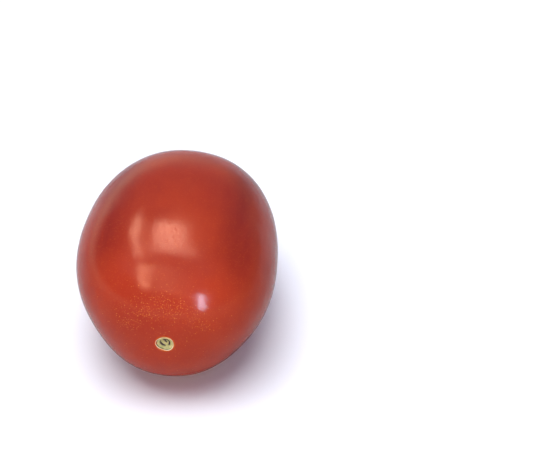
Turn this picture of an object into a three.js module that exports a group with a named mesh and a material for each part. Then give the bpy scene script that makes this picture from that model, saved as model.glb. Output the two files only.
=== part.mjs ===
// A plum tomato as picked, lying on its side, with the corky scar where its stalk broke off.
//
// Millimetres, +Z up. The fruit's own axis lies level along Y, with the stem end towards -Y and the
// blossom end towards +Y. The fruit rests on the plane z = 0, on a small spot that its own weight has
// pressed flat. The origin is the bottom centre of its bounding box.
//
// The whole fruit grew as one piece, so it is one closed solid. Its outline is a blunt ellipse turned
// round the axis. Lobes and furrows shape the section, most strongly at the stem end, and a relief is
// pressed into both tips: the dip and scar of the stalk, and the small scar of the flower.

import * as THREE from "three";

// Outline, seen from the side.
const LENGTH = 71; // tip to tip
const WIDTH = 47.7; // across the middle, before the lobes
const BLUNTNESS = 2.29; // exponent of the outline: 2 is an ellipse, more has blunter ends
const WIDEST_AT = -1.8; // along the axis from the middle, here towards the stem end
const TAPER = -0.026; // share that the radius gains towards the blossom end
const BOW = { x: 0.8, z: 0.4 }; // how far both tips bend off a straight axis

// Section, seen along the axis. Directions are in degrees from +X towards +Z.
// Each wave swells the section `count` times in a turn, by a share of the radius: `share` all along
// the fruit, and `stemShare` more at the stem end, which makes its three lobes.
const WAVES = [
  { count: 2, share: 0.06, stemShare: 0.043, towards: -9 },
  { count: 3, share: 0.021, stemShare: 0.077, towards: -97 },
  { count: 4, share: 0, stemShare: 0.038, towards: -51 },
];
// Crests round the top of the stem half. Each rises by a share of the radius, and by `stemShare` more
// at the stem end, and fades out past the middle.
const CRESTS = [
  { at: 88, share: 0.03, stemShare: 0, width: 21 },
  { at: 84, share: 0, stemShare: 0.1, width: 36 },
];
const CREST_FULL = -0.2; // where a crest has its full height, as a share of the half length
const CREST_END = 0.6; // where a crest has faded out
// Furrows run from the stem end between the lobes and fade out past the middle.
const FURROWS = [
  { at: 206, share: 0.01 },
  { at: 325, share: 0.009 },
];
const FURROW_WIDTH = 18; // half width of a furrow, in degrees round the axis
const FURROW_END = 0.35; // where a furrow has faded out, as a share of the half length

// Stem end: a shallow dip round the scar.
const STEM_DIP = { depth: 0.5, radius: 6 };

// The stalk's scar: a corky disc inside a thin raised lip. It sinks to a pit, and a ring of broken
// vessels runs round the pit's floor.
const SCAR_RADIUS = 2.35;
const SCAR_LIP = { depth: -0.22, radius: 0.93 * SCAR_RADIUS, width: 0.28 };
const SCAR_GROOVE = { depth: 0.16, radius: 0.73 * SCAR_RADIUS, width: 0.24 };
const SCAR_PIT = { depth: 0.5, radius: 0.53 * SCAR_RADIUS };
const SCAR_VESSELS = { depth: 0.2, radius: 0.38 * SCAR_RADIUS, width: 0.22, count: 5 };

// The flower's scar: a low nipple with a pinprick in its tip.
const NIPPLE = { depth: -0.45, radius: 2.6 };
const PINPRICK = { depth: 0.25, radius: 0.6 };

// The resting spot: how deep it is pressed in, and the height over which its edge is rounded.
const REST_DEPTH = 1;
const REST_EDGE = 0.06;

// Fineness of the surface.
const SEGMENTS = 72; // round the axis
const BODY_RINGS = 34; // along the outline, between the two scars
const STEM_RING_RADII = [0.35, 0.65, 0.95, 1.3, 1.65, 1.95, 2.2, 2.45, 2.8];
const BLOSSOM_RING_RADII = [0.4, 0.8, 1.4];

const HALF_LENGTH = LENGTH / 2;
const HALF_WIDTH = WIDTH / 2;
const radians = THREE.MathUtils.degToRad;

const bell = (distance, width) => Math.exp(-((distance / width) ** 2));

// The smaller angle between two directions, in radians.
function between(a, b) {
  const turn = Math.abs(a - b) % (2 * Math.PI);
  return Math.min(turn, 2 * Math.PI - turn);
}

// How much of a furrow or crest runs in direction `turn`, from 0 to 1.
const running = (turn, at, width) => bell(between(turn, radians(at)), radians(width));

// The radius in direction `turn` as a share of the mean radius, at `along` from -1 (stem) to 1.
function sectionShare(along, turn) {
  const stemward = ((1 - along) / 2) ** 2;
  const fade = THREE.MathUtils.smoothstep(-along, -FURROW_END, 1);
  let share = 1;
  for (const wave of WAVES) {
    const height = wave.share + wave.stemShare * stemward;
    share += height * Math.cos(wave.count * (turn - radians(wave.towards)));
  }
  for (const furrow of FURROWS) {
    share -= furrow.share * fade * running(turn, furrow.at, FURROW_WIDTH);
  }
  const rise = THREE.MathUtils.smoothstep(-along, -CREST_END, -CREST_FULL);
  for (const crest of CRESTS) {
    const height = crest.share + crest.stemShare * stemward ** 2;
    share += height * rise * running(turn, crest.at, crest.width);
  }
  return share;
}

// How deep a hollow in the middle of a tip is, and a ring round it, at `radius` from the axis.
const hollow = (shape, radius) => shape.depth * bell(radius, shape.radius);
const ring = (shape, radius) => shape.depth * bell(radius - shape.radius, shape.width);

// How far the stem end is pressed in, at `radius` from the axis in direction `turn`.
function stemRelief(radius, turn) {
  const broken = 0.5 + 0.5 * Math.cos(SCAR_VESSELS.count * turn);
  const vessels = broken * ring(SCAR_VESSELS, radius);
  const disc = ring(SCAR_LIP, radius) + ring(SCAR_GROOVE, radius) + hollow(SCAR_PIT, radius);
  return hollow(STEM_DIP, radius) + disc + vessels;
}

// How far the blossom end is pressed in, at `radius` from the axis.
const blossomRelief = (radius) => hollow(NIPPLE, radius) + hollow(PINPRICK, radius);

// A point of the skin: `angle` runs along the outline from 0 (stem) to PI, `turn` goes round the axis.
function skinPoint(angle, turn) {
  const across = Math.sin(angle) ** (2 / BLUNTNESS);
  const level = -Math.sign(Math.cos(angle)) * Math.abs(Math.cos(angle)) ** (2 / BLUNTNESS);
  const along = level + (WIDEST_AT / HALF_LENGTH) * (1 - level ** 2);
  const radius = HALF_WIDTH * across * (1 + TAPER * along) * sectionShare(along, turn);
  const sunk = along < 0 ? stemRelief(radius, turn) : -blossomRelief(radius);
  return new THREE.Vector3(
    radius * Math.cos(turn) + BOW.x * along ** 2,
    HALF_LENGTH * along + sunk,
    radius * Math.sin(turn) + BOW.z * along ** 2,
  );
}

// The outline angle whose ring has this mean radius, near the stem tip.
const angleOfRadius = (radius) => Math.asin((radius / HALF_WIDTH) ** (BLUNTNESS / 2));

// Outline angles of all rings from stem to blossom: close together on the scars, even on the body.
function ringAngles() {
  const stem = STEM_RING_RADII.map(angleOfRadius);
  const blossom = BLOSSOM_RING_RADII.map((radius) => Math.PI - angleOfRadius(radius)).reverse();
  const first = stem.at(-1);
  const last = blossom[0];
  const step = (last - first) / (BODY_RINGS + 1);
  const body = Array.from({ length: BODY_RINGS }, (_, i) => first + step * (i + 1));
  return [...stem, ...body, ...blossom];
}

// Presses the underside flat: below the surface it is 0, and it rises from there in a rounded edge.
function pressed(height) {
  const low = Math.max(height, -REST_EDGE);
  return low < REST_EDGE ? (low + REST_EDGE) ** 2 / (4 * REST_EDGE) : low;
}

// The closed skin: one point at each tip and a ring of points for each outline angle.
function skinGeometry() {
  const rings = ringAngles();
  const points = [skinPoint(0, 0)];
  for (const angle of rings) {
    for (let j = 0; j < SEGMENTS; j++) {
      points.push(skinPoint(angle, (2 * Math.PI * j) / SEGMENTS));
    }
  }
  points.push(skinPoint(Math.PI, 0));

  const at = (i, j) => 1 + i * SEGMENTS + (j % SEGMENTS);
  const lastRing = rings.length - 1;
  const lastPoint = points.length - 1;
  const faces = [];
  for (let j = 0; j < SEGMENTS; j++) {
    faces.push(0, at(0, j), at(0, j + 1));
    for (let i = 0; i < lastRing; i++) {
      faces.push(at(i, j), at(i + 1, j), at(i + 1, j + 1));
      faces.push(at(i, j), at(i + 1, j + 1), at(i, j + 1));
    }
    faces.push(at(lastRing, j), lastPoint, at(lastRing, j + 1));
  }
  const geometry = new THREE.BufferGeometry().setFromPoints(points);
  geometry.setIndex(faces);
  return geometry;
}

// Lays the fruit on the plane z = 0 and centres its bounding box over the origin.
function layDown(geometry) {
  geometry.computeBoundingBox();
  geometry.translate(0, 0, -geometry.boundingBox.min.z - REST_DEPTH);
  const position = geometry.getAttribute("position");
  for (let i = 0; i < position.count; i++) {
    position.setZ(i, pressed(position.getZ(i)));
  }
  geometry.computeBoundingBox();
  const centre = geometry.boundingBox.getCenter(new THREE.Vector3());
  geometry.translate(-centre.x, -centre.y, 0);
  geometry.computeVertexNormals();
  return geometry;
}

const skin = new THREE.MeshStandardMaterial({ color: 0xb5331f, roughness: 0.32, metalness: 0 });

const tomato = new THREE.Mesh(layDown(skinGeometry()), skin);
tomato.name = "tomato";

const fruit = new THREE.Group();
fruit.add(tomato);

export default fruit;
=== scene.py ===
"""A ripe plum tomato lying on its side, with the corky scar where its stalk broke off.

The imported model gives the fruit's one solid. A fine skin, grown from the same outline by Geometry Nodes,
stands for it here, and the dry scars of the stalk and of the flower are set into its two tips. Sizes are
millimetres in the pieces' classes, and metres in the meshes, the finishes and the studio. The fruit's axis
lies along Y, with the stem end towards -Y, and directions round it are degrees from +X towards +Z.
"""

import logging
import math
from dataclasses import dataclass, field
from enum import Enum
from functools import cache
from typing import Any, Callable, Iterable

import bpy
from mathutils import Matrix, Vector, noise


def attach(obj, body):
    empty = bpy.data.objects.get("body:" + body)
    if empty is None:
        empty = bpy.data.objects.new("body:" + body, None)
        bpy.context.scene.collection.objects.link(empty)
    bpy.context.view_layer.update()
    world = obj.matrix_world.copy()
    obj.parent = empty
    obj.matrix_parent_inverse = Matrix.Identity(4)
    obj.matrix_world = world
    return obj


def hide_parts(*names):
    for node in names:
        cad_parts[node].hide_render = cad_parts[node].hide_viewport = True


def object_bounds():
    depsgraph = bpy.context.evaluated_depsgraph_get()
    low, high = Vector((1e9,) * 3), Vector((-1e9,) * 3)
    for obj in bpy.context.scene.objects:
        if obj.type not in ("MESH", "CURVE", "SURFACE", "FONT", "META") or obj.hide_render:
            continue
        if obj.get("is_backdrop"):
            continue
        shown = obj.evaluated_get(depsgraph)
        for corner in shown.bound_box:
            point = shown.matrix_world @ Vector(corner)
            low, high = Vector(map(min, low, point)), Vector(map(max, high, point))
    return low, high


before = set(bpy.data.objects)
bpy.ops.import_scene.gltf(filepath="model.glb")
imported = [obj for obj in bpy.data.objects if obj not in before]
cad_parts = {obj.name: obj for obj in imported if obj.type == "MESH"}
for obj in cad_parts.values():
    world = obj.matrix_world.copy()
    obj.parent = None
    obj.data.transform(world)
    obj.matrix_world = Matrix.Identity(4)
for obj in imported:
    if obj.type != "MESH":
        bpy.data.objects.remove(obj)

MM = 0.001  # metres in a millimetre
LOG = logging.getLogger("plum_tomato")

Colour = tuple[float, float, float]
Span = tuple[float, float]
Surface = Callable[[float, float], Vector]
EVEN = Vector((1.0, 1.0, 1.0))  # scale of a pattern that isn't stretched
DEEP_CLOUDS = Vector((30.0, 10.0, 20.0)) * MM  # where the darker clouds' pattern is read
DRAWN_OUT = Vector((1.0, 0.12, 1.0))  # scale of a pattern that is drawn out from tip to tip
FRONT_MASKS = ("lip", "groove", "vessel")  # attributes of the stem scar, which its finish reads
CRUMB_LAYERS = (0.9, 2.1, 4)  # how fast finer layers fade, how much finer each is, and their number
SWELL_SEED = Vector((4.0, 9.0, 2.0))  # picks the cork's broader swellings


class Slot(Enum):
    """Material slots of the skin and of the scars."""

    SKIN = "skin"
    SCAR = "scar"


class Term:
    """A number worked out by nodes, which takes part in sums as a float does."""

    def __init__(self, tree: bpy.types.NodeTree, socket: bpy.types.NodeSocket) -> None:
        """Notes where the number comes from.

        Args:
            tree: The tree that holds the nodes.
            socket: The output that carries the number.
        """
        self.tree = tree
        self.socket = socket

    def _reckon(self, operation: str, *terms: "Term | float") -> "Term":
        """Adds a Math node.

        Args:
            operation: The node's operation.
            terms: Its inputs, in order.

        Returns:
            The node's result.
        """
        node = self.tree.nodes.new("ShaderNodeMath")
        node.operation = operation
        for socket, term in zip(node.inputs, terms):
            plug(self.tree, socket, term)
        return Term(self.tree, node.outputs[0])

    def __add__(self, other: "Term | float") -> "Term":
        """The sum of both."""
        return self._reckon("ADD", self, other)

    __radd__ = __add__

    def __sub__(self, other: "Term | float") -> "Term":
        """This less the other."""
        return self._reckon("SUBTRACT", self, other)

    def __rsub__(self, other: float) -> "Term":
        """The other less this."""
        return self._reckon("SUBTRACT", other, self)

    def __mul__(self, other: "Term | float") -> "Term":
        """The product of both."""
        return self._reckon("MULTIPLY", self, other)

    def __truediv__(self, other: "Term | float") -> "Term":
        """This divided by the other."""
        return self._reckon("DIVIDE", self, other)

    def __rtruediv__(self, other: float) -> "Term":
        """The other divided by this."""
        return self._reckon("DIVIDE", other, self)

    def __pow__(self, other: "Term | float") -> "Term":
        """This to the power of the other."""
        return self._reckon("POWER", self, other)

    def of(self, operation: str, *others: "Term | float") -> "Term":
        """Any other operation of the Math node, with this as its first input."""
        return self._reckon(operation, self, *others)

    def smooth(self, low: float, high: float) -> "Term":
        """A soft step.

        Args:
            low: Where the step starts.
            high: Where it ends; below `low` for a falling step.

        Returns:
            0 before the step, 1 after it.
        """
        node = self.tree.nodes.new("ShaderNodeMapRange")
        node.interpolation_type = "SMOOTHSTEP"
        plug(self.tree, node.inputs["Value"], self)
        start, end = (0.0, 1.0) if low < high else (1.0, 0.0)
        bounds = (min(low, high), max(low, high), start, end)
        for name, value in zip(("From Min", "From Max", "To Min", "To Max"), bounds):
            node.inputs[name].default_value = value
        return Term(self.tree, node.outputs["Result"])


def plug(tree: bpy.types.NodeTree, socket: bpy.types.NodeSocket, value: Any) -> None:
    """Links a term or an output to an input, or sets the input's own value.

    Args:
        tree: The tree that holds both.
        socket: The input.
        value: A Term, an output socket, or a plain value.
    """
    if isinstance(value, Term):
        value = value.socket
    if isinstance(value, bpy.types.NodeSocket):
        tree.links.new(value, socket)
    else:
        socket.default_value = value


def add(tree: bpy.types.NodeTree, kind: str, inputs: dict[str, Any] | None = None, **settings: Any) -> Any:
    """Adds a node.

    Args:
        tree: The tree that it goes in.
        kind: The node's type name.
        inputs: Values, terms or outputs for its named inputs.
        settings: Its own properties.

    Returns:
        The new node.
    """
    node = tree.nodes.new(kind)
    for name, value in settings.items():
        setattr(node, name, value)
    for name, value in (inputs or {}).items():
        plug(tree, node.inputs[name], value)
    return node


def split(tree: bpy.types.NodeTree, vector: Any) -> list[Term]:
    """The three parts of a vector."""
    parts = add(tree, "ShaderNodeSeparateXYZ", {"Vector": vector})
    return [Term(tree, socket) for socket in parts.outputs]


def placed(name: str, data: Any) -> bpy.types.Object:
    """Puts a mesh, a lamp or a camera in the scene.

    Args:
        name: The object's name.
        data: What it shows.

    Returns:
        The object, at the origin.
    """
    item = bpy.data.objects.new(name, data)
    bpy.context.scene.collection.objects.link(item)
    return item


def bell(distance: Term, width: float) -> Term:
    """A bell curve: 1 at distance 0, and near 0 past twice the width."""
    return (distance * distance * (-1.0 / width**2)).of("EXPONENT")


def bell_at(distance: float, width: float) -> float:
    """The same bell curve for a plain number."""
    return math.exp(-((distance / width) ** 2))


def around(turn: Term, towards: float, width: float) -> Term:
    """A bell curve round the axis.

    Args:
        turn: Direction round the axis, in radians.
        towards: Direction of the crest, in degrees.
        width: Half width of the bell, in degrees.

    Returns:
        1 at the crest, falling off on both sides of it.
    """
    off = (turn - math.radians(towards)).of("COSINE") - 1.0
    return (off * (2.0 / math.radians(width) ** 2)).of("EXPONENT")


@dataclass(frozen=True)
class Lobe:
    """A wave round the fruit's section.

    Attributes:
        count: Swellings in one turn.
        share: Height all along the fruit, as a share of the radius.
        stem_share: Height added at the stem end.
        towards: Direction of one crest.
    """

    count: int
    share: float
    stem_share: float
    towards: float


@dataclass(frozen=True)
class Ridge:
    """A low crest along the stem half, or a furrow where its height is negative.

    Attributes:
        at: Its direction round the axis.
        share: Its height, as a share of the radius.
        stem_share: Height added at the stem end.
        width: Its half width, in degrees.
        end: Where it has faded out, as a share of the half length.
        full: Where it has its full height.
    """

    at: float
    share: float
    stem_share: float
    width: float
    end: float
    full: float


LOBES = (Lobe(2, 0.06, 0.043, -9.0), Lobe(3, 0.021, 0.077, -97.0), Lobe(4, 0.0, 0.038, -51.0))
RIDGES = (
    Ridge(206.0, -0.01, 0.0, 18.0, 0.35, -1.0),
    Ridge(325.0, -0.009, 0.0, 18.0, 0.35, -1.0),
    Ridge(80.0, 0.03, 0.0, 26.0, 0.6, -0.2),
    Ridge(84.0, 0.0, 0.1, 36.0, 0.6, -0.2),
    Ridge(84.0, 0.0, 0.009, 18.0, 0.6, -0.2),
)


@dataclass
class TomatoSkin:
    """The taut skin, from one tip to the other.

    Attributes:
        length: Tip to tip.
        width: Across the middle, before the lobes.
        bluntness: Exponent of the outline; 2 is an ellipse.
        widest_at: Place of the widest section, from the middle.
        taper: Share that the radius gains towards the blossom end.
        bow_x: Sideways bend of both tips.
        bow_z: Upward bend of both tips.
        stem_full: Where the relief of the stem end is at its full, as a share of the half length.
        dip_depth: Depth of the dip round the stem scar.
        dip_radius: Radius of that dip.
        seat_depth: How deep the skin dives under the stem scar.
        seat_radius: Radius at which it starts to dive.
        seat_floor: Radius at which it is down, as a share of `seat_radius`.
        nipple_height: Height of the low nipple at the blossom end.
        nipple_radius: Radius of that nipple.
        unevenness: Height of the skin's broad, faint waves.
        wave_size: Size of those waves.
        wave_detail: Finer layers that the waves have.
        rest_depth: How deep the resting spot is pressed in.
        rest_edge: Height over which the spot's edge is rounded.
        segments: Faces round the axis.
        rings: Faces along the outline.
        crowding: How much closer the rings lie at both tips, from 0 to 1.
    """

    length: float = 71.0
    width: float = 47.7
    bluntness: float = 2.29
    widest_at: float = -1.8
    taper: float = -0.026
    bow_x: float = 0.8
    bow_z: float = 0.4
    stem_full: float = -0.5
    dip_depth: float = 0.5
    dip_radius: float = 6.0
    seat_depth: float = 1.2
    seat_radius: float = 2.25
    seat_floor: float = 0.72
    nipple_height: float = 0.45
    nipple_radius: float = 2.6
    unevenness: float = 0.22
    wave_size: float = 11.0
    wave_detail: float = 1.0
    rest_depth: float = 1.0
    rest_edge: float = 0.2
    segments: int = 360
    rings: int = 250
    crowding: float = 0.8

    def _sizes(self) -> dict[str, float]:
        """Works out the tree's inputs.

        Returns:
            Each input's value by its name, in metres where it is a length.
        """
        return {
            "Half Length": self.length / 2 * MM,
            "Half Width": self.width / 2 * MM,
            "Bluntness": self.bluntness,
            "Widest At": self.widest_at / (self.length / 2),
            "Taper": self.taper,
            "Bow X": self.bow_x * MM,
            "Bow Z": self.bow_z * MM,
            "Dip Depth": self.dip_depth * MM,
            "Seat Depth": self.seat_depth * MM,
            "Nipple Height": self.nipple_height * MM,
            "Unevenness": self.unevenness * MM,
            "Rest Depth": self.rest_depth * MM,
            "Rest Edge": self.rest_edge * MM,
            "Segments": self.segments,
            "Rings": self.rings,
        }

    def _section(self, along: Term, turn: Term) -> Term:
        """The radius as a share of the mean radius.

        Args:
            along: Place along the axis, from -1 at the stem to 1.
            turn: Direction round the axis, in radians.

        Returns:
            The share in that direction.
        """
        stemward = ((1.0 - along) / 2.0) ** 2.0
        share: Term | float = 1.0
        for lobe in LOBES:
            height = stemward * lobe.stem_share + lobe.share
            share = share + height * ((turn - math.radians(lobe.towards)) * lobe.count).of("COSINE")
        for ridge in RIDGES:
            height = stemward * stemward * ridge.stem_share + ridge.share
            fade = along.smooth(ridge.end, ridge.full)
            share = share + fade * around(turn, ridge.at, ridge.width) * height
        return share

    def _shape(self, tree: bpy.types.NodeTree, size: dict[str, Term]) -> bpy.types.NodeSocket:
        """Works out where each point of a unit sphere goes on the fruit.

        Args:
            tree: The tree that holds the nodes.
            size: The tree's named inputs.

        Returns:
            The point's place, with the fruit's middle at the origin.
        """
        x, y, z = split(tree, add(tree, "GeometryNodeInputPosition").outputs[0])
        turn = y.of("ARCTAN2", x)
        polar = (x * x + y * y).of("SQRT").of("ARCTAN2", z)
        angle = polar - (polar * 2.0).of("SINE") * (self.crowding / 2.0)
        power = 2.0 / size["Bluntness"]
        across = angle.of("SINE") ** power
        level = angle.of("COSINE")
        level = level.of("SIGN") * level.of("ABSOLUTE") ** power * -1.0
        along = level + size["Widest At"] * (1.0 - level * level)
        radius = size["Half Width"] * across * (size["Taper"] * along + 1.0) * self._section(along, turn)
        stem = along.smooth(0.0, self.stem_full)
        seat = self.seat_radius * MM
        sunk = size["Dip Depth"] * bell(radius, self.dip_radius * MM)
        sunk = sunk + size["Seat Depth"] * radius.smooth(seat, self.seat_floor * seat)
        raised = size["Nipple Height"] * bell(radius, self.nipple_radius * MM)
        place = add(tree, "ShaderNodeCombineXYZ", {
            "X": radius * turn.of("COSINE") + size["Bow X"] * along * along,
            "Y": size["Half Length"] * along + sunk * stem + raised * (1.0 - stem),
            "Z": radius * turn.of("SINE") + size["Bow Z"] * along * along,
        })
        return place.outputs[0]

    def _lay_down(self, tree: bpy.types.NodeTree, mesh: Any, size: dict[str, Term]) -> Any:
        """Presses the underside flat on z = 0 and centres the fruit's box over the origin.

        Args:
            tree: The tree that holds the nodes.
            mesh: The fruit's geometry.
            size: The tree's named inputs.

        Returns:
            The geometry as it lies.
        """
        hanging = add(tree, "GeometryNodeBoundBox", {"Geometry": mesh})
        lowest = split(tree, hanging.outputs["Min"])[2]
        x, y, z = split(tree, add(tree, "GeometryNodeInputPosition").outputs[0])
        height = z - lowest - size["Rest Depth"]
        edge = size["Rest Edge"]
        kept = height.of("MAXIMUM", edge * -1.0)
        rim = kept.of("MINIMUM", edge)
        pressed = (rim + edge) * (rim + edge) / (edge * 4.0) + (kept - rim)
        place = add(tree, "ShaderNodeCombineXYZ", {"X": x, "Y": y, "Z": pressed})
        flat = add(tree, "GeometryNodeSetPosition", {"Geometry": mesh, "Position": place.outputs[0]})
        box = add(tree, "GeometryNodeBoundBox", {"Geometry": flat.outputs[0]})
        both = add(tree, "ShaderNodeVectorMath", operation="ADD")
        plug(tree, both.inputs[0], box.outputs["Min"])
        plug(tree, both.inputs[1], box.outputs["Max"])
        back = add(tree, "ShaderNodeVectorMath", operation="MULTIPLY")
        plug(tree, back.inputs[0], both.outputs[0])
        back.inputs[1].default_value = (-0.5, -0.5, 0.0)
        moved = add(tree, "GeometryNodeSetPosition", {"Geometry": flat.outputs[0]})
        plug(tree, moved.inputs["Offset"], back.outputs[0])
        return moved.outputs[0]

    def grow(self, skin: bpy.types.Material) -> bpy.types.GeometryNodeTree:
        """Builds the tree that grows the fruit.

        Args:
            skin: The material of its faces.

        Returns:
            The tree.
        """
        tree = bpy.data.node_groups.new("grow_skin", "GeometryNodeTree")
        tree.interface.new_socket("Geometry", in_out="OUTPUT", socket_type="NodeSocketGeometry")
        for name, value in self._sizes().items():
            kind = "NodeSocketInt" if isinstance(value, int) else "NodeSocketFloat"
            tree.interface.new_socket(name, in_out="INPUT", socket_type=kind)
        entry = tree.nodes.new("NodeGroupInput")
        size = {name: Term(tree, entry.outputs[name]) for name in self._sizes()}
        ball = add(tree, "GeometryNodeMeshUVSphere", {"Segments": size["Segments"], "Rings": size["Rings"]})
        shaped = add(tree, "GeometryNodeSetPosition", {"Geometry": ball.outputs[0]})
        plug(tree, shaped.inputs["Position"], self._shape(tree, size))
        scale = 1.0 / (self.wave_size * MM)
        wave = add(tree, "ShaderNodeTexNoise", {"Scale": scale, "Detail": self.wave_detail})
        swell = (Term(tree, wave.outputs["Fac"]) - 0.5) * size["Unevenness"]
        offset = add(tree, "ShaderNodeVectorMath", operation="SCALE")
        plug(tree, offset.inputs[0], add(tree, "GeometryNodeInputNormal").outputs[0])
        plug(tree, offset.inputs["Scale"], swell)
        uneven = add(tree, "GeometryNodeSetPosition", {"Geometry": shaped.outputs[0]})
        plug(tree, uneven.inputs["Offset"], offset.outputs[0])
        laid = self._lay_down(tree, uneven.outputs[0], size)
        smooth = add(tree, "GeometryNodeSetShadeSmooth", {"Geometry": laid})
        whole = add(tree, "GeometryNodeRealizeInstances", {"Geometry": smooth.outputs[0]})
        dressed = add(tree, "GeometryNodeSetMaterial", {"Geometry": whole.outputs[0], "Material": skin})
        leave = tree.nodes.new("NodeGroupOutput")
        tree.links.new(dressed.outputs[0], leave.inputs[0])
        return tree

    def build(self, skin: bpy.types.Material) -> bpy.types.Object:
        """Grows the skin as a plain mesh.

        Args:
            skin: The material of its faces.

        Returns:
            The piece, whose first point is its stem tip and whose last is its blossom tip.
        """
        return grown("tomato_skin", self.grow(skin), self._sizes())


def grown(name: str, tree: bpy.types.GeometryNodeTree, sizes: dict[str, float]) -> bpy.types.Object:
    """Runs a tree and keeps its result as a plain mesh.

    Args:
        name: The piece's name.
        tree: The tree.
        sizes: Values for its named inputs.

    Returns:
        The piece, at the origin.
    """
    piece = placed(name, bpy.data.meshes.new(name + "_seed"))
    modifier = piece.modifiers.new("grow", "NODES")
    modifier.node_group = tree
    for item in tree.interface.items_tree:
        if item.in_out == "INPUT" and item.name in sizes:
            modifier[item.identifier] = sizes[item.name]
    bpy.context.view_layer.update()
    depsgraph = bpy.context.evaluated_depsgraph_get()
    mesh = bpy.data.meshes.new_from_object(
        piece.evaluated_get(depsgraph), preserve_all_data_layers=True, depsgraph=depsgraph
    )
    piece.modifiers.clear()
    piece.data = mesh
    mesh.name = name
    return piece


def closed_shell(name: str, rings: int, segments: int, surface: Surface) -> bpy.types.Object:
    """Makes a closed mesh of rings between two poles.

    Args:
        name: The piece's name.
        rings: Rings between the poles.
        segments: Points in a ring.
        surface: Gives the point at a share from pole to pole and a direction in radians.

    Returns:
        The piece, with its faces smooth and pointing out.
    """
    points = [surface(0.0, 0.0)]
    for i in range(1, rings + 1):
        points += [surface(i / (rings + 1), math.tau * j / segments) for j in range(segments)]
    points.append(surface(1.0, 0.0))
    last = len(points) - 1

    def at(i: int, j: int) -> int:
        """Number of point j of ring i."""
        return 1 + i * segments + j % segments

    faces: list[tuple[int, ...]] = []
    for j in range(segments):
        faces.append((0, at(0, j), at(0, j + 1)))
        faces += [(at(i, j), at(i + 1, j), at(i + 1, j + 1), at(i, j + 1)) for i in range(rings - 1)]
        faces.append((at(rings - 1, j), last, at(rings - 1, j + 1)))
    mesh = bpy.data.meshes.new(name)
    mesh.from_pydata(points, [], faces)
    mesh.shade_smooth()
    return placed(name, mesh)


@dataclass(frozen=True)
class Arc:
    """A stretch of the torn vessels in the stem scar.

    Attributes:
        towards: Direction of its middle, in degrees.
        spread: Half of its length, in degrees.
        radius: Its distance from the scar's middle, as a share of the scar's radius.
        depth: How deep it is torn in.
        width: Half of its width.
    """

    towards: float
    spread: float
    radius: float
    depth: float
    width: float


VESSELS = (
    Arc(90.0, 34.0, 0.4, 0.45, 0.38),
    Arc(45.0, 24.0, 0.46, 0.35, 0.2),
    Arc(-2.0, 42.0, 0.48, 0.4, 0.21),
    Arc(224.0, 54.0, 0.43, 0.42, 0.27),
    Arc(158.0, 18.0, 0.52, 0.2, 0.12),
    Arc(55.0, 70.0, 0.15, 0.3, 0.2),
)


def bulge(turn: float, bumps: float, seed: float) -> float:
    """How far a ragged edge stands out, from -1 to 1: finer with more `bumps`, another for each `seed`."""
    return noise.noise(Vector((bumps * math.cos(turn), bumps * math.sin(turn), seed)))


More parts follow.
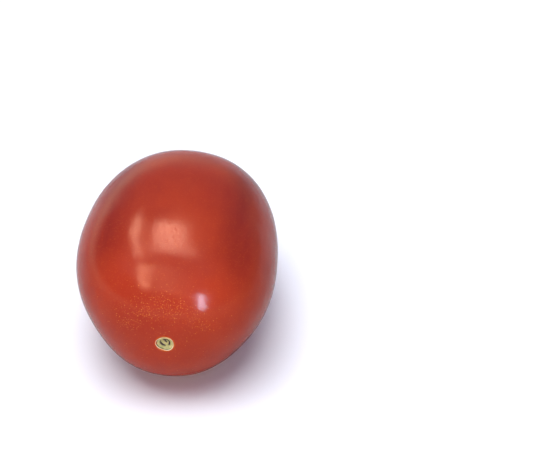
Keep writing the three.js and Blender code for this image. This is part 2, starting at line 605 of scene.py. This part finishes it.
@dataclass
class StemScar:
    """The corky disc where the stalk broke off: a closed button set into the stem end.

    Places on its front and their widths are shares of the edge's radius.

    Attributes:
        radius: Mean radius to the outer foot of its lip.
        oval: Share by which it is longer sideways than upright.
        oval_towards: Direction of the longer side.
        point: Share by which it is drawn out on one side.
        point_towards: Direction of that side.
        raggedness: Share by which its edge is ragged.
        lip: Height of the lip above the skin.
        lip_at: Place of the lip.
        groove: Depth of the groove inside the lip.
        groove_at: Place of the groove.
        groove_towards: Direction in which the groove is deepest, and its painted shade darkest.
        groove_least: Share of its depth that the groove keeps on the other side.
        band: Half width of the lip and of the groove.
        pit: How deep the disc sinks towards the vessels.
        pit_edge: Place where the disc starts to sink.
        inset: How deep the disc lies below the skin.
        crumb: Height of the cork's crumbly surface.
        swell: Height of the cork's broader swellings.
        front_share: Share of the faces from middle to middle that lies on the front.
        thickness: From the skin's level to the button's back.
        rings: Faces from the middle of the front to the middle of the back.
        segments: Faces round it.
    """

    radius: float = 2.22
    oval: float = 0.045
    oval_towards: float = -6.0
    point: float = 0.045
    point_towards: float = 178.0
    raggedness: float = 0.03
    lip: float = 0.2
    lip_at: float = 0.95
    groove: float = 0.3
    groove_at: float = 0.85
    groove_towards: float = 218.0
    groove_least: float = 0.1
    band: float = 0.045
    pit: float = 0.5
    pit_edge: float = 0.8
    inset: float = 0.06
    crumb: float = 0.07
    swell: float = 0.05
    front_share: float = 0.82
    thickness: float = 1.1
    rings: int = 110
    segments: int = 160

    def _edge(self, turn: float) -> float:
        """The radius of the button's edge.

        Args:
            turn: The direction, in radians.

        Returns:
            The radius in that direction.
        """
        oval = self.oval * math.cos(2 * (turn - math.radians(self.oval_towards)))
        point = self.point * math.cos(3 * (turn - math.radians(self.point_towards)))
        ragged = self.raggedness * bulge(turn, bumps=3.0, seed=7.0)
        return self.radius * (1 + oval + point + ragged)

    def _torn(self, share: float, turn: float, arc: Arc) -> float:
        """How much of a vessel's tear is at a place on the front.

        Args:
            share: Distance from the middle, as a share of the edge's radius.
            turn: Its direction, in radians.
            arc: The vessel.

        Returns:
            From 0 for none to 1 for the tear's bottom.
        """
        tatter, outwards, sideways = 0.25, 9.0, 2.0
        off = (math.degrees(turn) - arc.towards + 180) % 360 - 180
        ragged = tatter * noise.noise(Vector((share * outwards, turn * sideways, arc.towards)))
        across = bell_at((share - arc.radius) * self.radius, arc.width * (1 + ragged))
        return across * math.exp(-((off / arc.spread) ** 4))

    def _masks(self, share: float, turn: float) -> tuple[float, float, float]:
        """What a place on the front is made of.

        Args:
            share: Distance from the middle, as a share of the edge's radius.
            turn: Its direction, in radians.

        Returns:
            How much it is lip, groove and torn vessel, each from 0 to 1.
        """
        lip = bell_at(share - self.lip_at, self.band)
        lowest = 0.5 + 0.5 * math.cos(turn - math.radians(self.groove_towards))
        deep = self.groove_least + (1 - self.groove_least) * lowest**2
        # the groove's mask sets its depth, and also where the cork's finish lays painted shade
        groove = bell_at(share - self.groove_at, self.band) * deep
        vessel = max(self._torn(share, turn, arc) for arc in VESSELS)
        return lip, groove, vessel

    def _front(self, share: float, turn: float) -> float:
        """Height of the front above the skin.

        Args:
            share: Distance from the middle, as a share of the edge's radius.
            turn: Its direction, in radians.

        Returns:
            The height at that place.
        """
        fine, broad, even_rim = 2.4, 1.1, 0.1
        lip, groove, _ = self._masks(share, turn)
        reach = share * self.radius
        disc = -self.pit * (1 - min(1.0, share / self.pit_edge) ** 2) - self.inset
        tears = sum(arc.depth * self._torn(share, turn, arc) for arc in VESSELS)
        place = Vector((reach * math.cos(turn), reach * math.sin(turn), 0.0))
        crumb = self.crumb * noise.fractal(place * fine, *CRUMB_LAYERS)
        crumb += self.swell * noise.noise(place * broad + SWELL_SEED)
        fade = min(1.0, (1 - share) / even_rim)
        return disc + self.lip * lip - self.groove * groove - tears + crumb * fade

    def build(self, tip: Vector) -> bpy.types.Object:
        """Makes the button.

        Args:
            tip: The stem tip at the skin's level, in metres.

        Returns:
            The piece, with the masks of its front as the attributes lip, groove and vessel.
        """
        tuck, tuck_width = 0.06, 0.05
        back_size, back_round = 0.97, 0.7
        side_start, side_steepness, side_round = 0.1, 1.6, 0.6
        masks: list[tuple[float, float, float]] = []

        def surface(share: float, turn: float) -> Vector:
            """The button's surface, which also notes each point's masks.

            Args:
                share: Place between the middle of the front, 0, and the middle of the back, 1.
                turn: Direction round the axis, in radians.

            Returns:
                The point there.
            """
            edge = self._edge(turn)
            if share <= self.front_share:
                across = share / self.front_share
                masks.append(self._masks(across, turn))
                reach = across * edge - tuck * bell_at(across - 1, tuck_width)
                height = self._front(across, turn)
            else:
                back = (share - self.front_share) / (1 - self.front_share)
                masks.append((0.0, 0.0, 0.0))
                reach = edge * (1 - back) ** back_round * back_size
                side = min(1.0, side_steepness * back) ** side_round
                height = -side_start - self.thickness * side
            return tip + Vector((reach * math.cos(turn), -height, reach * math.sin(turn))) * MM

        piece = closed_shell("stem_scar", self.rings, self.segments, surface)
        for i, name in enumerate(FRONT_MASKS):
            layer = piece.data.attributes.new(name, "FLOAT", "POINT")
            layer.data.foreach_set("value", [mask[i] for mask in masks])
        return piece


@dataclass
class BlossomScar:
    """The dry spot that the flower left: a low, closed crust on the blossom tip.

    Attributes:
        radius: Mean radius.
        raggedness: Share by which its edge is ragged.
        height: Height of its middle above the skin.
        rim: How deep its rim is set into the skin.
        pinprick: Depth of the hole where the style stood.
        pinprick_radius: Radius of that hole.
        crumb: Height of the crust's crumbly surface.
        depth: From the rim to its back.
        front_share: Share of the faces from middle to middle that lies on the front.
        rings: Faces from the middle of the front to the middle of the back.
        segments: Faces round it.
    """

    radius: float = 0.95
    raggedness: float = 0.16
    height: float = 0.16
    rim: float = 0.12
    pinprick: float = 0.3
    pinprick_radius: float = 0.2
    crumb: float = 0.05
    depth: float = 0.5
    front_share: float = 0.7
    rings: int = 44
    segments: int = 72

    def build(self, tip: Vector) -> bpy.types.Object:
        """Makes the crust.

        Args:
            tip: The blossom tip of the skin, in metres.

        Returns:
            The piece.
        """
        dome, dive = 3, 6
        crumb_fineness, crumb_seed = 4.5, 5.0

        def surface(share: float, turn: float) -> Vector:
            """The crust's surface.

            Args:
                share: Place between the middle of the front, 0, and the middle of the back, 1.
                turn: Direction round the axis, in radians.

            Returns:
                The point there.
            """
            front = min(1.0, share / self.front_share)
            back = max(0.0, (share - self.front_share) / (1 - self.front_share))
            ragged = self.raggedness * bulge(turn, bumps=2.0, seed=3.0)
            reach = self.radius * (1 + ragged) * front * (1 - back)
            place = Vector((reach * math.cos(turn), reach * math.sin(turn), crumb_seed))
            if share <= self.front_share:
                crust = self.height * (1 - front**dome) - self.rim * front**dive
                crust -= self.pinprick * bell_at(reach, self.pinprick_radius)
                height = crust + self.crumb * noise.noise(place * crumb_fineness)
            else:
                height = -self.rim - self.depth * back
            return tip + Vector((-reach * math.cos(turn), height, reach * math.sin(turn))) * MM

        return closed_shell("blossom_scar", self.rings, self.segments, surface)


class Effect:
    """A shader node group with named inputs and outputs, placed in each material with its own values."""

    def __init__(self, name: str, values: dict[str, float], results: Iterable[str]) -> None:
        """Starts the group.

        Args:
            name: The group's name.
            values: Its number inputs and their usual values. It also takes a Point.
            results: Its outputs.
        """
        self.tree = bpy.data.node_groups.new(name, "ShaderNodeTree")
        sockets = self.tree.interface
        sockets.new_socket("Point", in_out="INPUT", socket_type="NodeSocketVector")
        for key, value in values.items():
            sockets.new_socket(key, in_out="INPUT", socket_type="NodeSocketFloat").default_value = value
        for key in results:
            sockets.new_socket(key, in_out="OUTPUT", socket_type="NodeSocketFloat")
        entry = add(self.tree, "NodeGroupInput")
        self.point = entry.outputs["Point"]
        self.given = {key: Term(self.tree, entry.outputs[key]) for key in values}
        self.leave = add(self.tree, "NodeGroupOutput")

    def give(self, name: str, value: Term) -> None:
        """Links a result to an output of the group."""
        plug(self.tree, self.leave.inputs[name], value)

    def place(self, tree: bpy.types.NodeTree, point: Any, **values: Any) -> dict[str, Term]:
        """Puts the group in a material.

        Args:
            tree: The material's tree.
            point: Where the pattern is read.
            values: The numbers for this material, with _ for a space in a name.

        Returns:
            The group's results by name.
        """
        node = add(tree, "ShaderNodeGroup", node_tree=self.tree)
        plug(tree, node.inputs["Point"], point)
        for key, value in values.items():
            plug(tree, node.inputs[key.replace("_", " ")], value)
        return {socket.name: Term(tree, socket) for socket in node.outputs}


@cache
def fine_grain() -> Effect:
    """The small rounded bumps of a surface.

    Returns:
        The effect, which gives a Height from 0 to 1 at a given Spacing.
    """
    cloud_share, cloud_fineness = 0.4, 1.6
    effect = Effect("fine_grain", {"Spacing": 0.4 * MM}, ("Height",))
    cells = add(effect.tree, "ShaderNodeTexVoronoi", {
        "Vector": effect.point, "Scale": 1.0 / effect.given["Spacing"], "Smoothness": 0.6,
    }, feature="SMOOTH_F1")
    cloud = add(effect.tree, "ShaderNodeTexNoise", {
        "Vector": effect.point, "Scale": cloud_fineness / effect.given["Spacing"], "Detail": 2.0,
    })
    bumps = 1.0 - Term(effect.tree, cells.outputs["Distance"])
    clouds = Term(effect.tree, cloud.outputs["Fac"])
    effect.give("Height", bumps * (1 - cloud_share) + clouds * cloud_share)
    return effect


@cache
def blotches() -> Effect:
    """Soft clouds.

    Returns:
        The effect, which gives a Mask from 0 to 1: clouds of a given Size that cover more as Cover rises.
    """
    effect = Effect("blotches", {"Size": 10 * MM, "Cover": 0.5, "Edge": 0.15}, ("Mask",))
    cloud = add(effect.tree, "ShaderNodeTexNoise", {
        "Vector": effect.point, "Scale": 1.0 / effect.given["Size"], "Detail": 3.0, "Roughness": 0.55,
    })
    middle = 1.0 - effect.given["Cover"]
    level = (Term(effect.tree, cloud.outputs["Fac"]) - middle) / effect.given["Edge"] * 0.5 + 0.5
    effect.give("Mask", level.smooth(0.0, 1.0))
    return effect


@cache
def flecks() -> Effect:
    """Small round flecks.

    Returns:
        The effect, which gives a Mask of dots of a given Radius at a Spacing, where Share of them show.
    """
    smallest, spread = 0.65, 0.7
    outer_edge, crispness = 1.6, 12.0
    values = {"Spacing": 0.8 * MM, "Radius": 0.13 * MM, "Share": 0.5}
    effect = Effect("flecks", values, ("Mask",))
    spacing = effect.given["Spacing"]
    cells = add(effect.tree, "ShaderNodeTexVoronoi", {
        "Vector": effect.point, "Scale": 1.0 / spacing, "Randomness": 1.0,
    })
    parts = add(effect.tree, "ShaderNodeSeparateColor", {"Color": cells.outputs["Color"]})
    luck, size = (Term(effect.tree, parts.outputs[i]) for i in range(2))
    radius = effect.given["Radius"] / spacing * (size * spread + smallest)
    dot = (outer_edge - Term(effect.tree, cells.outputs["Distance"]) / radius).smooth(0.0, 1.0)
    shown = ((effect.given["Share"] - luck) * crispness).smooth(0.0, 1.0)
    effect.give("Mask", dot * shown)
    return effect


def mix(tree: bpy.types.NodeTree, mask: Any, low: Any, high: Any) -> bpy.types.NodeSocket:
    """Mixes two colours.

    Args:
        tree: The material's tree.
        mask: 0 for the first colour, 1 for the second.
        low: The first colour.
        high: The second colour.

    Returns:
        The mixed colour.
    """
    node = add(tree, "ShaderNodeMix", data_type="RGBA")
    for i, value in ((0, mask), (6, low), (7, high)):
        plug(tree, node.inputs[i], (*value, 1.0) if isinstance(value, tuple) else value)
    return node.outputs[2]


def new_material(name: str) -> bpy.types.Material:
    """Starts a material.

    Args:
        name: Its name.

    Returns:
        The material, with its usual shader.
    """
    material = bpy.data.materials.new(name)
    material.use_nodes = True
    return material


def parts_of(material: bpy.types.Material) -> tuple[bpy.types.NodeTree, Any, bpy.types.NodeSocket]:
    """Finds what a finish works on.

    Args:
        material: The material.

    Returns:
        Its tree, its Principled shader and the object's coordinates.
    """
    tree = material.node_tree
    shader = next(node for node in tree.nodes if node.type == "BSDF_PRINCIPLED")
    return tree, shader, add(tree, "ShaderNodeTexCoord").outputs["Object"]


def mapped(tree: bpy.types.NodeTree, point: Any, centre: Vector, scale: Vector) -> bpy.types.NodeSocket:
    """Centres a pattern on a place and stretches it.

    Args:
        tree: The material's tree.
        point: The object's coordinates.
        centre: The place that becomes the pattern's origin.
        scale: The pattern's scale along each axis.

    Returns:
        The pattern's coordinates.
    """
    node = add(tree, "ShaderNodeMapping", {"Vector": point, "Scale": scale})
    node.inputs["Location"].default_value = [-c * s for c, s in zip(centre, scale)]
    return node.outputs[0]


def add_relief(tree: bpy.types.NodeTree, shader: Any, height: Term, depth: float) -> None:
    """Gives a shader a fine relief.

    Args:
        tree: The material's tree.
        shader: Its Principled shader.
        height: The relief's height, where 1 stands for its full depth.
        depth: That depth, in metres.
    """
    bump = add(tree, "ShaderNodeBump", {"Height": height, "Distance": depth})
    plug(tree, shader.inputs["Normal"], bump.outputs[0])


@dataclass(frozen=True)
class RipeSkin:
    """Taut waxy skin, red with warmer clouds, painted shade down both flanks, and golden flecks towards the
    stem end.

    Attributes:
        red: The ripe colour.
        warm: The colour of the orange clouds.
        deep: The colour of the darker clouds, and of the painted shade on the flanks.
        gold: The colour of the flecks.
        halo: The colour close round the scars.
        flank_shade_at: Distance of the painted shade on a flank from the fruit's upright middle plane, in
            metres.
        flank_shade_width: Half width of the painted shade on a flank, in metres.
        arch_radius: Distance of the arch of flecks from the axis, in metres.
        arch_width: Half width of the arch, in metres.
        roughness: The skin's roughness.
        gloss: Level of the shine between the pores.
        sheen_grain: Height of the fine grain, in metres.
        flesh_reach: How far light gets into the flesh, in metres.
        flesh_tint: The share of that reach that red, green and blue light have.
    """

    red: Colour = (0.345, 0.031, 0.0115)
    warm: Colour = (0.42, 0.046, 0.013)
    deep: Colour = (0.22, 0.018, 0.009)
    gold: Colour = (0.80, 0.27, 0.05)
    halo: Colour = (0.70, 0.16, 0.02)
    flank_shade_at: float = 16 * MM
    flank_shade_width: float = 5 * MM
    arch_radius: float = 10 * MM
    arch_width: float = 2.7 * MM
    roughness: float = 0.165
    gloss: float = 0.29
    sheen_grain: float = 0.02 * MM
    flesh_reach: float = 1.5 * MM
    flesh_tint: Colour = (1.0, 0.25, 0.1)

    def _flesh(
        self, tree: bpy.types.NodeTree, point: Any, stem: Vector, flank_shade: Term
    ) -> bpy.types.NodeSocket:
        """The red with its broad clouds, the painted shade on its flanks and its faint streaks from tip to
        tip.

        Args:
            tree: The material's tree.
            point: The object's coordinates.
            stem: The stem tip, in metres.
            flank_shade: How much painted shade a place gets on a flank.

        Returns:
            The colour.
        """
        warm_share, deep_share, flank_shade_share, streak_share = 0.55, 0.3, 0.9, 0.22
        warm = blotches().place(tree, point, Size=13 * MM, Cover=0.47, Edge=0.2)["Mask"]
        elsewhere = mapped(tree, point, DEEP_CLOUDS, EVEN)
        deep = blotches().place(tree, elsewhere, Size=21 * MM, Cover=0.45, Edge=0.2)["Mask"]
        lengthwise = mapped(tree, point, stem, DRAWN_OUT)
        streaks = blotches().place(tree, lengthwise, Size=2.2 * MM, Cover=0.5, Edge=0.35)["Mask"]
        colour = mix(tree, warm * warm_share, self.red, self.warm)
        colour = mix(tree, deep * deep_share, colour, self.deep)
        # darkens the flanks with painted shade
        colour = mix(tree, flank_shade * flank_shade_share, colour, self.deep)
        return mix(tree, streaks * streak_share, colour, self.warm)

    def dress(self, material: bpy.types.Material, stem: Vector, blossom: Vector) -> None:
        """Fills in the material.

        Args:
            material: The skin's material, as started.
            stem: The stem tip, in metres.
            blossom: The blossom tip, in metres.
        """
        gold_share, ring_share, tip_share = 0.65, 0.6, 0.4
        dimple_share, patch_dullness, fleck_dullness, pore_dullness = 0.3, 0.02, 0.08, 0.2
        tree, shader, point = parts_of(material)
        x, y, z = split(tree, mapped(tree, point, stem, EVEN))
        away = (x * x + z * z).of("SQRT")
        # painted shade: a darker band down each flank, fading in from the stem end
        flank_shade = bell(x.of("ABSOLUTE") - self.flank_shade_at, self.flank_shade_width) * y.smooth(4 * MM, 17 * MM)
        colour = self._flesh(tree, point, stem, flank_shade)

        stemward = y.smooth(9 * MM, 3 * MM)
        arch = bell(away - self.arch_radius, self.arch_width) * z.smooth(1 * MM, 6 * MM) * stemward
        patches = blotches().place(tree, point, Size=4 * MM, Cover=0.55, Edge=0.1)["Mask"]
        in_arch = patches * 0.7 + 0.2
        share = arch * in_arch + stemward * 0.1 + 0.02
        gold = flecks().place(tree, point, Spacing=0.42 * MM, Radius=0.075 * MM, Share=share)["Mask"]
        fine_share, dust_share = arch * 0.4 + 0.4, arch * 0.3 + 0.25
        dust = flecks().place(tree, point, Spacing=0.3 * MM, Radius=0.07 * MM, Share=fine_share)["Mask"]
        colour = mix(tree, dust * dust_share, colour, self.halo)
        colour = mix(tree, gold * gold_share, colour, self.gold)
        ring = away.smooth(2.7 * MM, 2.2 * MM) * y.smooth(3 * MM, 2 * MM)
        colour = mix(tree, ring * ring_share, colour, self.halo)
        from_tip = add(tree, "ShaderNodeVectorMath", operation="LENGTH")
        plug(tree, from_tip.inputs[0], mapped(tree, point, blossom, EVEN))
        pale = Term(tree, from_tip.outputs["Value"]).smooth(4.5 * MM, 0.8 * MM)
        colour = mix(tree, pale * tip_share, colour, self.halo)
        plug(tree, shader.inputs["Base Color"], colour)

        grain = fine_grain().place(tree, point, Spacing=0.34 * MM)["Height"]
        dimples = fine_grain().place(tree, point, Spacing=1.6 * MM)["Height"]
        add_relief(tree, shader, grain + dimples * dimple_share, self.sheen_grain)
        dull = patches * patch_dullness + gold * fleck_dullness
        plug(tree, shader.inputs["Roughness"], dull + self.roughness)
        pores = flecks().place(tree, point, Spacing=0.5 * MM, Radius=0.18 * MM, Share=0.8)["Mask"]
        plug(tree, shader.inputs["Specular IOR Level"], pores * -pore_dullness + self.gloss)
        shader.inputs["IOR"].default_value = 1.45
        shader.inputs["Subsurface Weight"].default_value = 0.12
        shader.inputs["Subsurface Scale"].default_value = self.flesh_reach
        shader.inputs["Subsurface Radius"].default_value = self.flesh_tint


@dataclass(frozen=True)
class DryCork:
    """Dry corky tissue: an olive cream disc with a pale lip, painted shade in the groove and dark torn
    vessels.

    Attributes:
        disc: Colour of the disc.
        green: Colour of its greener clouds.
        lip: Colour of the lip.
        rind: Colour of the lip where it passes into the skin.
        groove: Colour of the painted shade in the groove.
        groove_shade_edge: Where the groove's mask starts to lay the painted shade, and where it does so
            fully.
        vessel: Colour of the torn vessels.
        vessel_edge: The same for the vessels' mask.
        roughness: The cork's least roughness.
        crumb_roughness: What a crumb's top adds to it.
        relief: Height of the crumbs, in metres.
    """

    disc: Colour = (0.58, 0.51, 0.23)
    green: Colour = (0.37, 0.40, 0.15)
    lip: Colour = (0.95, 0.81, 0.60)
    rind: Colour = (0.85, 0.38, 0.12)
    groove: Colour = (0.07, 0.055, 0.015)
    groove_shade_edge: Span = (0.1, 0.6)
    vessel: Colour = (0.06, 0.035, 0.035)
    vessel_edge: Span = (0.2, 0.6)
    roughness: float = 0.62
    crumb_roughness: float = 0.2
    relief: float = 0.03 * MM

    def make(self) -> bpy.types.Material:
        """Builds the material, which reads the masks of the button's front.

        Returns:
            The material.
        """
        material = new_material("dry_cork")
        tree, shader, point = parts_of(material)
        lip, groove, vessel = (
            Term(tree, add(tree, "ShaderNodeAttribute", attribute_name=name).outputs["Fac"])
            for name in FRONT_MASKS
        )
        green = blotches().place(tree, point, Size=0.9 * MM, Cover=0.5, Edge=0.2)["Mask"]
        crumb = fine_grain().place(tree, point, Spacing=0.16 * MM)["Height"]
        colour = mix(tree, green, self.disc, self.green)
        rind = blotches().place(tree, point, Size=2.5 * MM, Cover=0.42, Edge=0.12)["Mask"]
        colour = mix(tree, lip, colour, mix(tree, rind, self.lip, self.rind))
        # painted shade: the groove's mask darkens the cork, most on the side where the groove is deepest
        colour = mix(tree, groove.smooth(*self.groove_shade_edge), colour, self.groove)
        colour = mix(tree, vessel.smooth(*self.vessel_edge), colour, self.vessel)
        plug(tree, shader.inputs["Base Color"], colour)
        plug(tree, shader.inputs["Roughness"], crumb * self.crumb_roughness + self.roughness)
        add_relief(tree, shader, crumb, self.relief)
        return material


@dataclass(frozen=True)
class DryCrust:
    """The brown crust that the flower left.

    Attributes:
        pale: Its lighter colour.
        dark: Its darker colour.
        roughness: Its least roughness.
        crumb_roughness: What a crumb's top adds to it.
        relief: Height of the crumbs, in metres.
    """

    pale: Colour = (0.42, 0.24, 0.09)
    dark: Colour = (0.10, 0.05, 0.025)
    roughness: float = 0.6
    crumb_roughness: float = 0.25
    relief: float = 0.03 * MM

    def make(self) -> bpy.types.Material:
        """Builds the material.

        Returns:
            The material.
        """
        material = new_material("dry_crust")
        tree, shader, point = parts_of(material)
        spots = blotches().place(tree, point, Size=0.5 * MM, Cover=0.5, Edge=0.2)["Mask"]
        crumb = fine_grain().place(tree, point, Spacing=0.12 * MM)["Height"]
        plug(tree, shader.inputs["Base Color"], mix(tree, spots, self.pale, self.dark))
        plug(tree, shader.inputs["Roughness"], crumb * self.crumb_roughness + self.roughness)
        add_relief(tree, shader, crumb, self.relief)
        return material


def direction(azimuth: float, elevation: float) -> Vector:
    """The unit vector at an azimuth from +Y towards +X and an elevation, in degrees."""
    turn, rise = math.radians(azimuth), math.radians(elevation)
    return Vector((math.sin(turn) * math.cos(rise), math.cos(turn) * math.cos(rise), math.sin(rise)))


@dataclass(frozen=True)
class Softbox:
    """An even rectangular light that faces the fruit.

    Attributes:
        name: Its name.
        azimuth: Its direction from the fruit.
        elevation: Its height above the floor, as an angle.
        distance: Its distance from the fruit, in metres.
        width: Its width, in metres.
        height: Its height, in metres.
        brightness: Its radiance in red, green and blue.
        upright: The way that its height points, before it is squared to face the fruit.
        mirrored: Whether it shows as a highlight.
        lights: Whether it also lights matt surfaces.
    """

    name: str
    azimuth: float
    elevation: float
    distance: float
    width: float
    height: float
    brightness: Colour
    upright: tuple[float, float, float] = (0.0, 0.0, 1.0)
    mirrored: bool = True
    lights: bool = True

    def build(self, middle: Vector) -> None:
        """Hangs the light.

        Args:
            middle: The fruit's middle, at which it is aimed.
        """
        lamp = bpy.data.lights.new(self.name, "AREA")
        lamp.shape = "RECTANGLE"
        lamp.size, lamp.size_y = self.width, self.height
        top = max(self.brightness)
        lamp.color = [channel / top for channel in self.brightness]
        lamp.energy = top * math.pi * self.width * self.height
        back = direction(self.azimuth, self.elevation)
        right = Vector(self.upright).cross(back).normalized()
        turn = Matrix((right, back.cross(right), back)).transposed().to_4x4()
        holder = placed(self.name, lamp)
        holder.matrix_world = Matrix.Translation(middle + back * self.distance) @ turn
        holder.visible_glossy = self.mirrored
        holder.visible_diffuse = self.lights


@dataclass
class Studio:
    """The pale floor, the soft light and the camera.

    Attributes:
        floor_size: Width of the floor, in metres.
        floor_gap: How far it lies under the fruit, in metres.
        floor_white: The floor's colour, as the camera sees it.
        floor_grey: Its colour for the light that it throws back at the fruit.
        floor_roughness: The floor's roughness.
        floor_gloss: Level of its shine.
        horizon: The surroundings' light at the horizon.
        far_side: The same on the far side, where the room is dimmer.
        far_towards: Direction of the far side, as its parts along X and Y.
        far_edge: Where along that direction the light starts to dim, and where it ends.
        overhead: The surroundings' light from above.
        band: Elevations over which the horizon's light passes into it, in degrees.
        picture: Width and height of the picture, in pixels.
        focal_length: The lens's focal length, in pixels.
        azimuth: The camera's direction, from straight before the stem end towards +X.
        elevation: The camera's height, as an angle.
        depth: Distance of the aim point along the camera's axis, in metres.
        aim: A point on the fruit's upright axis, in metres.
        aim_pixel: Where the picture shows that point.
        sensor: Width of the camera's sensor, in millimetres.
        clip: Nearest and farthest distance that the camera sees, in metres.
        lights: All lights.
    """

    floor_size: float = 3.0
    floor_gap: float = 0.01 * MM
    floor_white: Colour = (0.97, 0.97, 0.97)
    floor_grey: Colour = (0.58, 0.55, 0.53)
    floor_roughness: float = 0.9
    floor_gloss: float = 0.1
    horizon: Colour = (1.3, 1.1, 0.93)
    far_side: Colour = (0.34, 0.28, 0.29)
    far_towards: tuple[float, float] = (0.75, 0.66)
    far_edge: Span = (0.1, 0.95)
    overhead: Colour = (0.09, 0.10, 0.27)
    band: Span = (5.2, 20.8)
    picture: tuple[int, int] = (551, 450)
    focal_length: float = 1615.0
    azimuth: float = 4.37
    elevation: float = 36.67
    depth: float = 0.42
    aim: tuple[float, float, float] = (0.0, 0.0, 0.0225)
    aim_pixel: tuple[float, float] = (180.8, 254.2)
    sensor: float = 36.0
    clip: Span = (0.01, 10.0)
    lights: tuple[Softbox, ...] = (
        Softbox("key", -150.0, 81.0, 1.3, 1.1, 1.1, (5.5, 5.8, 6.0), mirrored=False),
        Softbox("front_fill", 178.0, 16.0, 1.2, 0.8, 0.6, (4.0, 3.3, 2.7), mirrored=False),
        Softbox(
            "warm_window", 5.8, 68.6, 0.78, 0.1, 0.37, (22.5, 12.6, 8.6), (-0.14, 1.0, 0.0),
            lights=False,
        ),
        Softbox(
            "left_strip", -32.0, 67.0, 0.78, 0.042, 0.58, (33.0, 18.5, 11.5), (-0.19, 0.72, 0.0),
            lights=False,
        ),
        Softbox(
            "front_strip", -170.5, 64.3, 0.78, 0.028, 0.5, (76.0, 38.0, 21.0), (0.07, 1.0, 0.0),
            lights=False,
        ),
        Softbox("cool_lamp", 157.0, 33.0, 0.8, 0.064, 0.42, (44.0, 52.0, 66.0), lights=False),
    )

    def camera(self) -> None:
        """Places the camera so that the picture frames the fruit as the photograph does."""
        right = direction(90.0 - self.azimuth, 0.0)
        back = direction(180.0 - self.azimuth, self.elevation)
        up = back.cross(right)
        across = (self.aim_pixel[0] - self.picture[0] / 2) / self.focal_length
        down = (self.aim_pixel[1] - self.picture[1] / 2) / self.focal_length
        place = Vector(self.aim) - (right * across - up * down - back) * self.depth
        lens = bpy.data.cameras.new("camera")
        lens.sensor_width = self.sensor
        lens.lens = self.focal_length / self.picture[0] * lens.sensor_width
        lens.clip_start, lens.clip_end = self.clip
        camera = placed("camera", lens)
        camera.matrix_world = Matrix.Translation(place) @ Matrix((right, up, back)).transposed().to_4x4()
        bpy.context.scene.camera = camera

    def floor(self) -> None:
        """Lays the pale floor just under the fruit's resting spot."""
        reach, level = self.floor_size / 2, -self.floor_gap
        corners = [(x * reach, y * reach, level) for x, y in ((-1, -1), (1, -1), (1, 1), (-1, 1))]
        mesh = bpy.data.meshes.new("floor")
        mesh.from_pydata(corners, [], [(0, 1, 2, 3)])
        material = new_material("pale_floor")
        tree, shader, _ = parts_of(material)
        seen = add(tree, "ShaderNodeLightPath").outputs["Is Camera Ray"]
        plug(tree, shader.inputs["Base Color"], mix(tree, seen, self.floor_grey, self.floor_white))
        shader.inputs["Roughness"].default_value = self.floor_roughness
        shader.inputs["Specular IOR Level"].default_value = self.floor_gloss
        mesh.materials.append(material)
        floor = placed("floor", mesh)
        floor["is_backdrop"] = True

    def surroundings(self) -> None:
        """Sets the light of the white room: bright near the horizon and dimmer above."""
        world = bpy.data.worlds.new("white_room")
        world.use_nodes = True
        tree = world.node_tree
        ground = next(node for node in tree.nodes if node.type == "BACKGROUND")
        x, y, height = split(tree, add(tree, "ShaderNodeTexCoord").outputs["Generated"])
        east, north = self.far_towards
        far = (x * east + y * north).smooth(*self.far_edge)
        horizon = mix(tree, far, self.horizon, self.far_side)
        above = height.smooth(*(math.sin(math.radians(angle)) for angle in self.band))
        plug(tree, ground.inputs["Color"], mix(tree, above, horizon, self.overhead))
        bpy.context.scene.world = world

    def build(self) -> None:
        """Sets up the camera, the floor and all lights."""
        self.camera()
        self.floor()
        self.surroundings()
        for light in self.lights:
            light.build(Vector(self.aim))
        bpy.context.scene.view_settings.view_transform = "Standard"
        LOG.info("studio: camera, floor and %d lights", len(self.lights))


@dataclass
class PlumTomato:
    """The whole fruit: its skin and the two dry scars in its tips.

    Attributes:
        shape: Sizes of the skin.
        stem_scar: Sizes of the stem scar.
        blossom_scar: Sizes of the blossom scar.
    """

    shape: TomatoSkin = field(default_factory=TomatoSkin)
    stem_scar: StemScar = field(default_factory=StemScar)
    blossom_scar: BlossomScar = field(default_factory=BlossomScar)

    def build(self) -> None:
        """Makes the three pieces, dresses them and hides the imported solid."""
        ripe = new_material("ripe_skin")
        skin = self.shape.build(ripe)
        points = skin.data.vertices
        stem = points[0].co - Vector((0.0, self.shape.seat_depth * MM, 0.0))
        blossom = points[len(points) - 1].co.copy()
        RipeSkin().dress(ripe, stem, blossom)
        scar = self.stem_scar.build(stem)
        scar.data.materials.append(DryCork().make())
        crust = self.blossom_scar.build(blossom)
        crust.data.materials.append(DryCrust().make())
        for piece, slot in ((skin, Slot.SKIN), (scar, Slot.SCAR), (crust, Slot.SCAR)):
            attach(piece, "root")
            LOG.info("%s: %d faces", piece.name, len(piece.data.polygons))
        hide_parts("tomato")


def main() -> None:
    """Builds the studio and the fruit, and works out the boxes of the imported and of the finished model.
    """
    logging.basicConfig(level=logging.INFO, format="%(name)s: %(message)s")
    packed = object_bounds()
    Studio().build()
    PlumTomato().build()
    boxes = {"packed": packed, "finished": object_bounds()}
    {name: [list(corner) for corner in box] for name, box in boxes.items()}


if __name__ == "__main__":
    main()
